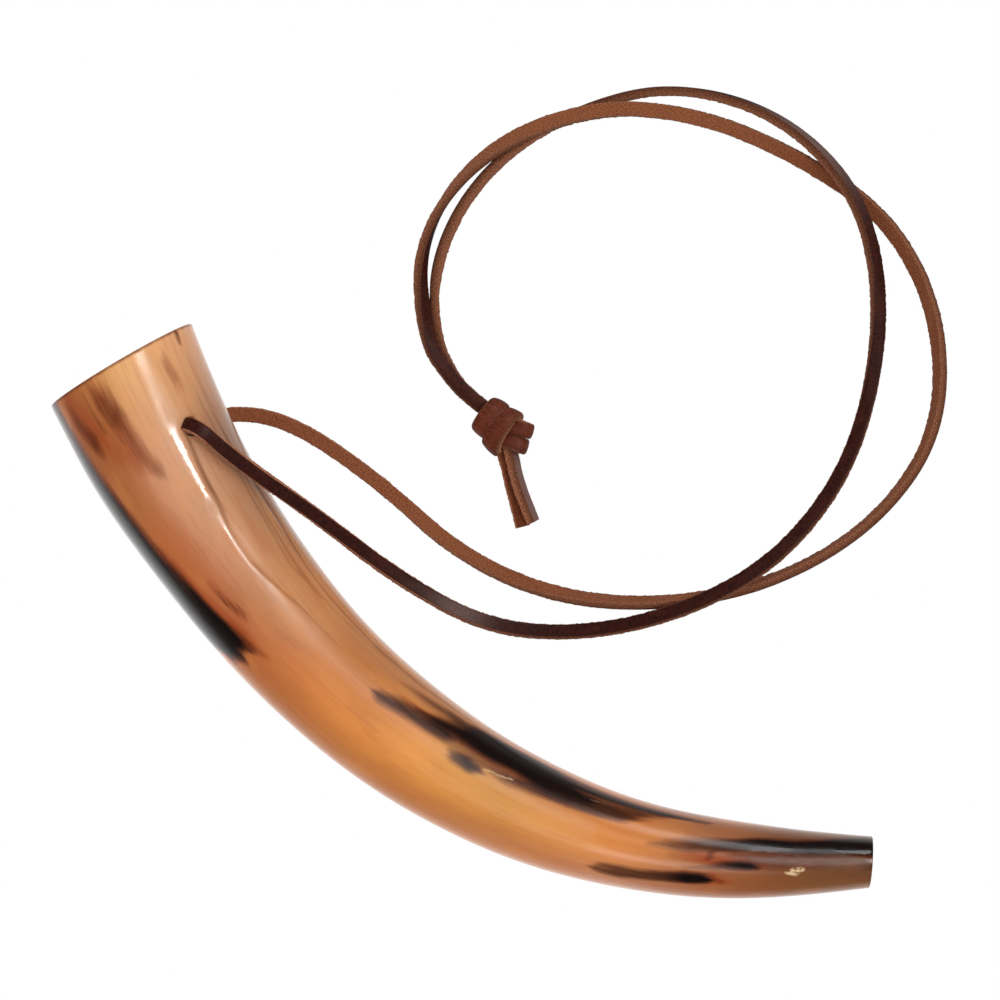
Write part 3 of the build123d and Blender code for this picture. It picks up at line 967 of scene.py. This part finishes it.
# The two bands of its bight, and its core: route in the knot's frame, direction across, width, seed, tone.
# The bands' tone paints their grain lighter, partly as painted light.
KNOT_BANDS = {
    "knot_bight_upper": (
        [(-2, 0.7, 1.4), (2, 1.75, 2.4), (5.5, 2.8, 3.2), (8.3, 3.6, 3.2), (9.3, 3.9, 1), (8.9, 3.8, -2.4),
         (5, 2.7, -4), (0, 1.2, -4)],
        (-0.29, 0.95, 0.22), 5.3, 33, (0.7, 0.6, 0)),
    "knot_bight_lower": (
        [(-1.5, -4.6, 0.2), (3, -3.35, 1.2), (6.5, -2.4, 2.3), (9.6, -1.7, 2.3), (10.7, -1.4, 0.2),
         (10.3, -1.5, -2.8), (6, -2.6, -4.3), (1, -4, -4.4)],
        (-0.29, 0.95, -0.14), 5.4, 34, (0.7, 0.6, 0)),
    # The core's flesh side is painted dark, as painted shade in the gap inside the knot
    "knot_core": (
        [(-7.5, 2.2, -1.2), (-2, 0.4, -1.2), (3, -2.6, -1.4), (6.4, -5.2, -1.8)],
        (0.45, 0.89, 0), 5.4, 35, (-0.3, 0.1, 0)),
}
KNOT_OFFSET = 700  # where the material's coordinates start in the knot, beyond both strands


def knot_strip(name, line, grain, width, seed, **looks):
    return strip(name, line, grain, seed, step=KNOT_STEP, offset=KNOT_OFFSET + seed, width=width, **looks)


def knot_strips():
    """The strips of the doubled overhand knot: two turns, the two bands of its bight and its core."""
    made = []
    for name, (values, width, seed) in KNOT_COILS.items():
        # The coils' grain is painted lighter, for their stretched leather and as painted light on their tops
        made.append(knot_strip(name, *coil(*values), width, seed, fuzz=0.4, crown=0.55, tone=(0.85, 0.6, 0)))
    for name, (route, across, width, seed, tone) in KNOT_BANDS.items():
        line = KNOT_CENTRE + read_route(route) @ KNOT_AXES
        aside = unit(np.cross(directions(line), np.array(across) @ KNOT_AXES))
        made.append(knot_strip(name, line, aside, width, seed, fuzz=0.6, crown=0.35, tone=tone))
    return made


# The tails: route, roll, tone and seed
TAILS = {
    # The left tail's flesh side is painted dark, a painted shadow from the right tail; the right tail's grain
    # side is painted lighter, with a painted sheen
    "tail_left": (
        [(-55.6, 42.8, 4.4), (-50.2, 41.8, 3.8), (-37.8, 38.0, 2.4), (-24.8, 34.2, 1.7)],
        176, (0, -0.1, 0), 13),
    "tail_right": (
        [(-54.6, 44.6, 5.2), (-49.4, 44.2, 5.2), (-38.4, 40.0, 4.4), (-24.4, 38.0, 3.2)],
        -62, (0.6, 0.45, 0.7), 14),
}
TAIL_OFFSET = 640


def tail_strips():
    made = []
    for name, (route, roll, tone, seed) in TAILS.items():
        line = read_route(route)
        grain = rolled(line, [(0, roll), (100, roll)])
        made.append(strip(name, line, grain, seed, fuzz=1.4, offset=TAIL_OFFSET, tone=tone))
    return made


# Depths along each hole's axis of the points that the inner span's route runs through
SPAN_DEPTHS = [LACE_INSET, 13.0, 17.0]
SPAN_OFFSET = -40


def inner_span():
    """The stretch of lace inside the bell, from one hole to the other."""
    front, front_away = hole_at(*FRONT_HOLE)
    rear, rear_away = hole_at(*REAR_HOLE)
    route = [front - front_away * depth for depth in SPAN_DEPTHS]
    route += [rear - rear_away * depth for depth in reversed(SPAN_DEPTHS)]
    line = read_route(route)
    grain = np.cross(directions(line), (1, 0, 0))  # the strip's width lies along the horn
    return strip("inner_span", line, grain, seed=21, offset=SPAN_OFFSET)


# ---- materials


class Nodes:
    """A short way to write the nodes of a material or a world. set() sets its shader's own sockets."""

    def __init__(self, owner, shader="Principled BSDF"):
        owner.use_nodes = True
        self.owner = owner
        self.tree = owner.node_tree
        self.shader = self.tree.nodes[shader]

    def add(self, kind, settings=None, **inputs):
        node = self.tree.nodes.new("ShaderNode" + kind)
        for key, value in (settings or {}).items():
            setattr(node, key, value)
        for key, value in inputs.items():
            self.put(node.inputs[key.replace("_", " ")], value)
        return node

    def put(self, socket, value):
        if isinstance(value, bpy.types.NodeSocket):
            self.tree.links.new(value, socket)
        else:
            socket.default_value = value

    def set(self, name, value):
        self.put(self.shader.inputs[name], value)

    def attribute(self, name):
        return self.add("Attribute", {"attribute_name": name}).outputs

    def parts(self, vector):
        """The three components of a vector or a colour."""
        return self.add("SeparateXYZ", Vector=vector).outputs

    def noise(self, vector, detail, roughness, density, distortion=0.0):
        """Noise of so many octaves. density is how fine it is along each direction of the vector."""
        mapped = self.add("VectorMath", {"operation": "MULTIPLY"})
        self.put(mapped.inputs[0], vector)
        mapped.inputs[1].default_value = density
        node = self.add("TexNoise", Vector=mapped.outputs[0], Scale=1.0, Detail=detail, Roughness=roughness,
                        Distortion=distortion)
        return node.outputs["Fac"]

    def fit(self, value, low, high, out_low=0.0, out_high=1.0, smooth=True):
        """A value that goes from out_low to out_high while the given one goes from low to high."""
        node = self.add("MapRange", {"interpolation_type": "SMOOTHSTEP" if smooth else "LINEAR"}, Value=value)
        for key, number in (("From Min", low), ("From Max", high), ("To Min", out_low), ("To Max", out_high)):
            node.inputs[key].default_value = number
        return node.outputs[0]

    def math(self, operation, a, b=0.0, c=0.0):
        node = self.add("Math", {"operation": operation})
        for socket, value in zip(node.inputs, (a, b, c)):
            self.put(socket, value)
        return node.outputs[0]

    def mix(self, factor, a, b, blend="MIX"):
        node = self.add("Mix", {"data_type": "RGBA", "blend_type": blend})
        self.put(node.inputs["Factor"], factor)
        self.put(node.inputs[6], hex_colour(a) if isinstance(a, str) else a)
        self.put(node.inputs[7], hex_colour(b) if isinstance(b, str) else b)
        return node.outputs[2]

    def bump(self, height, strength, distance, normal=None):
        node = self.add("Bump", Height=height, Strength=strength, Distance=distance)
        if normal is not None:
            self.put(node.inputs["Normal"], normal)
        return node.outputs[0]


def horn_material():
    """Polished horn: clear body colour with a painted sheen on the bell's top, fibres along the horn, and
    feathered dark streaks, one of them painted shade along the crease.
    """
    n = Nodes(bpy.data.materials.new("horn_polished"))
    spot = n.attribute("horn_spot")["Vector"]
    tint = n.attribute("horn_tint")
    black, brown, red = n.parts(n.attribute("horn_marks")["Color"])
    pale, gloss, dull = n.parts(n.attribute("horn_pale")["Color"])

    fibre = n.noise(spot, 3.0, 0.6, (0.03, 0.9, 0.9))
    feather = n.noise(spot, 3.0, 0.55, (0.07, 0.42, 0.42), 0.3)
    cloud = n.noise(spot, 2.0, 0.5, (0.045, 0.10, 0.10))
    speckle = n.noise(spot, 4.0, 0.65, (0.5, 0.9, 0.9))

    colour = n.mix(n.fit(fibre, 0.42, 0.78, 0.0, 0.2), tint["Color"], "#d08a58", "MULTIPLY")
    colour = n.mix(n.fit(cloud, 0.52, 0.74, 0.0, 0.20), colour, "#e89a4c")
    colour = n.mix(n.fit(cloud, 0.48, 0.26, 0.0, 0.20), colour, "#a85c30")
    colour = n.mix(n.fit(speckle, 0.58, 0.80, 0.0, 0.14), colour, "#8a4a24")
    wobble = n.math("SUBTRACT", feather, 0.5)
    wobble_fine = n.math("SUBTRACT", fibre, 0.5)

    def feathered(value, amount):
        """A streak's strength with its edge moved by the fibres, and nothing where it was nothing."""
        moved = n.math("MULTIPLY_ADD", wobble, amount, value)
        moved = n.math("MULTIPLY_ADD", wobble_fine, amount * 0.35, moved)
        return n.math("MULTIPLY", moved, n.fit(value, 0.0, 0.25))

    colour = n.mix(feathered(red, 0.4), colour, "#983606")
    colour = n.mix(feathered(brown, 0.5), colour, "#5a1e04")
    black = feathered(black, 0.32)
    colour = n.mix(n.fit(black, 0.0, 0.62, 0.0, 0.88), colour, "#562610")
    colour = n.mix(n.fit(black, 0.34, 0.98), colour, "#120301")
    chip = n.math("MULTIPLY", pale, n.fit(speckle, 0.36, 0.52))
    colour = n.mix(n.fit(chip, 0.05, 0.9, 0.0, 0.8), colour, "#e6c898")
    hollow = n.mix(n.fit(fibre, 0.3, 0.7), "#6e4526", "#a5764a")
    n.set("Base Color", n.mix(tint["Alpha"], colour, hollow))

    scratch = n.noise(spot, 3.0, 0.7, (0.15, 2.4, 2.4))
    polish = n.fit(scratch, 0.35, 0.75, 0.20, 0.26)
    polish = n.math("MULTIPLY", polish, n.fit(gloss, 0.0, 1.0, 1.0, 0.30))
    polish = n.math("MULTIPLY", polish, n.fit(dull, 0.0, 1.0, 1.0, 2.4))
    n.set("Roughness", n.math("MULTIPLY_ADD", tint["Alpha"], 0.4, polish))
    ripple = n.noise(spot, 2.0, 0.5, (0.25, 0.5, 0.5))
    normal = n.bump(ripple, 0.35, 0.0001)
    normal = n.bump(scratch, 0.12, 0.00005, normal)
    n.set("Normal", normal)
    n.set("IOR", 1.55)
    n.set("Subsurface Weight", 0.25)
    n.set("Subsurface Radius", (1.0, 0.42, 0.18))
    n.set("Subsurface Scale", 0.0022)
    return n.owner


def lace_material():
    """Veg-tanned lace: smooth dark grain side, and fuzzy lighter cut edges and flesh side. Light and shade
    are painted into the edges' and the flesh side's colour, and a sheen into the grain side's.
    """
    n = Nodes(bpy.data.materials.new("lace_leather"))
    along, around, side = n.parts(n.attribute("lace_spot")["Vector"])
    flat = n.add("CombineXYZ", X=along, Y=around).outputs[0]
    fine = n.noise(flat, 4.0, 0.7, (2.6, 2.6, 1))
    grains = n.noise(flat, 3.0, 0.6, (1.5, 0.45, 1))
    cloud = n.noise(flat, 2.0, 0.5, (0.09, 0.25, 1))
    fuzz = n.noise(flat, 5.0, 0.75, (1.8, 2.4, 1))

    worn_and_lit, flesh_light, sheen = n.parts(n.attribute("lace_tone_and_light")["Vector"])
    edge_light = n.parts(n.attribute("lace_edge")["Vector"])[0]
    grain = n.mix(n.fit(grains, 0.3, 0.7), "#1c0301", "#380d04")
    grain = n.mix(n.fit(cloud, 0.5, 0.75, 0.0, 0.4), grain, "#431609")
    # Worn and lit grain: wear, and painted light on the knot's coils and bands
    worn = n.mix(n.fit(grains, 0.3, 0.7), "#541f10", "#6e301b")
    worn = n.mix(n.fit(cloud, 0.4, 0.7, 0.0, 0.5), worn, "#7c3c22")
    grain = n.mix(n.fit(worn_and_lit, 0.0, 1.0, smooth=False), grain, worn)
    # Painted sheen: a grey highlight mixed into the grain side's colour
    sheen = n.math("MULTIPLY", n.fit(sheen, 0.0, 1.0), n.fit(fine, 0.38, 0.58, 0.15, 0.9))
    grain = n.mix(sheen, grain, "#806860")
    # Cut edges: shaded and lit colours, mixed by the painted light and shade stored on the strip
    edge_shaded = n.mix(n.fit(fuzz, 0.38, 0.74), "#2c1208", "#7a4020")
    edge_lit = n.mix(n.fit(fuzz, 0.36, 0.66), "#6a3220", "#c48662")
    edge = n.mix(edge_light, edge_shaded, edge_lit)
    # Flesh side: shaded and lit colours, mixed by the painted light and shade stored on the strip
    flesh_shaded = n.mix(n.fit(fuzz, 0.34, 0.68), "#451a0c", "#7c4020")
    flesh_lit = n.mix(n.fit(fuzz, 0.36, 0.7), "#61301c", "#b06c46")
    flesh = n.mix(flesh_light, flesh_shaded, flesh_lit)
    flesh = n.mix(n.fit(cloud, 0.4, 0.7, 0.0, 0.3), flesh, "#8a5434")
    ragged = n.math("MULTIPLY_ADD", n.math("SUBTRACT", fine, 0.5), 0.5, side)
    colour = n.mix(n.fit(ragged, 0.25, 0.60), grain, edge)
    colour = n.mix(n.fit(ragged, 1.25, 1.75), colour, flesh)
    n.set("Base Color", colour)
    rough_side = n.fit(side, 0.2, 0.6)
    smooth_rough = n.fit(fine, 0.3, 0.7, 0.36, 0.5)
    n.set("Roughness", n.math("MAXIMUM", smooth_rough, n.math("MULTIPLY", rough_side, 0.92)))
    pores = n.bump(grains, 0.35, 0.00012)
    n.set("Normal", n.bump(n.math("MULTIPLY", fuzz, rough_side), 0.9, 0.0003, pores))
    n.set("Sheen Weight", n.fit(side, 0.3, 1.2, 0.0, 0.10))
    n.set("Sheen Roughness", 0.45)
    n.set("Sheen Tint", hex_colour("#d8b8a8"))
    n.set("Specular IOR Level", 0.2)
    return n.owner


# ---- room


def make_camera():
    camera = bpy.data.cameras.new("camera")
    camera.sensor_width = SENSOR
    camera.lens = SENSOR * VIEW_HEIGHT / VIEW_WIDTH
    camera.clip_start = 0.01
    camera.clip_end = 20
    view = add_object("camera", camera)
    view.location = (VIEW_CENTRE[0] * MM, VIEW_CENTRE[1] * MM, VIEW_HEIGHT * MM)
    view.rotation_euler = (0, 0, math.radians(VIEW_TURN))
    bpy.context.scene.camera = view


# Softboxes, all far away: name, direction from the horn, width in degrees, radiance
LIGHTS = [
    ("key_softbox", (0.165, 0.505, 0.846), 9.0, 17.0),
    ("bell_sheen", (0.20, 0.49, 0.85), 16.0, 1.3),
    ("bend_softbox", (0.509, -0.118, 0.853), 15.0, 2.5),
    ("tip_softbox", (-0.44, 0.62, 0.65), 18.0, 3.6),
]
LIGHT_DISTANCE = 5000.0
# Strength of the white room: on dull surfaces, in reflections, and as a backdrop for the camera
ROOM_DIFFUSE = 0.86
ROOM_GLOSSY = 0.05
ROOM_BACKDROP = 1.0


def make_light(name, towards, spread, radiance):
    """A square softbox in a direction from the horn, facing it."""
    size = 2 * LIGHT_DISTANCE * math.tan(math.radians(spread / 2)) * MM
    light = bpy.data.lights.new(name, "AREA")
    light.shape = "SQUARE"
    light.size = size
    light.energy = radiance * math.pi * size * size
    lamp = add_object(name, light)
    lamp.location = Vector(towards).normalized() * LIGHT_DISTANCE * MM
    lamp.rotation_euler = Vector(towards).to_track_quat("Z", "Y").to_euler()


def make_world():
    """A white room, which is dark in reflections so that only the softboxes and the table show there."""
    n = Nodes(bpy.data.worlds.new("studio"), "Background")
    ray = n.add("LightPath").outputs
    strength = n.fit(ray["Is Glossy Ray"], 0, 1, ROOM_DIFFUSE, ROOM_GLOSSY, smooth=False)
    n.set("Color", (1, 1, 1, 1))
    n.set("Strength", n.math("MULTIPLY_ADD", ray["Is Camera Ray"], ROOM_BACKDROP - ROOM_DIFFUSE, strength))
    scene = bpy.context.scene
    scene.world = n.owner
    scene.view_settings.view_transform = "Standard"
    scene.view_settings.look = "None"


TABLE_SIZE = 3000.0
TABLE_POINTS = 61  # along each side, closer together in the middle
TABLE_TOP = -0.05
BELL_SIDE = (-90, -110)  # on the table beside the bell, on the outside of the curve


def table_glow(line, points):
    """How bright the table looks in reflections: bright near the horn, and most of all beside its bell."""
    gap = np.array([line.tree.find((x, y, 0))[2] for x, y, _ in points])
    from_side = np.hypot(points[:, 0] - BELL_SIDE[0], points[:, 1] - BELL_SIDE[1])
    beside_bell = 1 - smooth_step((from_side - 20) / 80)
    return 0.12 + 1.3 * np.exp(-np.maximum(gap - 20, 0) / 45) + 0.8 * beside_bell


def make_floor(line):
    """A pale table that glows like a light table."""
    share = np.linspace(-1, 1, TABLE_POINTS)
    steps = np.sign(share) * np.abs(share) ** 2 * TABLE_SIZE / 2
    x, y = np.meshgrid(steps, steps)
    points = np.column_stack([x.ravel(), y.ravel(), np.full(x.size, TABLE_TOP)])
    faces = []
    for i in range(TABLE_POINTS - 1):
        for j in range(TABLE_POINTS - 1):
            a = i * TABLE_POINTS + j
            faces.append((a, a + 1, a + TABLE_POINTS + 1, a + TABLE_POINTS))
    floor = mesh_piece("table", points, faces)
    store(floor, "glow", *[table_glow(line, points)] * 3)
    n = Nodes(bpy.data.materials.new("table_white"))
    glow = n.parts(n.attribute("glow")["Vector"])[0]
    glossy = n.add("LightPath").outputs["Is Glossy Ray"]
    strength = n.math("ADD", n.math("MULTIPLY", glossy, glow), n.math("SUBTRACT", 1.0, glossy))
    emission = n.add("Emission", Color=(1, 1, 1, 1), Strength=strength)
    n.tree.links.new(emission.outputs[0], n.tree.nodes["Material Output"].inputs["Surface"])
    floor.data.materials.append(n.owner)


# ---- building


def finish_piece(piece, material):
    piece.data.materials.append(material)
    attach(piece, "root")


make_camera()
line = Centreline()
make_world()
make_floor(line)
for name, towards, spread, radiance in LIGHTS:
    make_light(name, towards, spread, radiance)

leather = lace_material()
front_line = read_route(FRONT_START + FRONT_ROUTE)
rear_line = read_route(REAR_START + REAR_ROUTE)
front_grain = folded(front_line, rolled(front_line, soft_table(FRONT_ROLL)))
front = strip("strand_front", front_line, front_grain, seed=11, tone=front_tone, edge=(1.0, 0.4))
rear_grain = rolled(rear_line, soft_table(REAR_ROLL))
rear = strip("strand_rear", rear_line, rear_grain, seed=12, tone=rear_tone, edge=(0.8, 0.4))
knot = knot_strips()
tails = tail_strips()
span = inner_span()
for piece in [front, rear, span, *knot, *tails]:
    finish_piece(piece, leather)
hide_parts("lace_front_strand")
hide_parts("lace_rear_strand")
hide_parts("lace_inner_span")
for piece in knot:
    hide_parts("lace_knot")
for piece in tails:
    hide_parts("lace_" + piece.name)
front_exit = hole_at(*FRONT_HOLE)[0] * MM
rear_exit = hole_at(*REAR_HOLE)[0] * MM

horn = horn_mesh(line)
paint_horn(horn, line)
finish_piece(horn, horn_material())
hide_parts("horn")
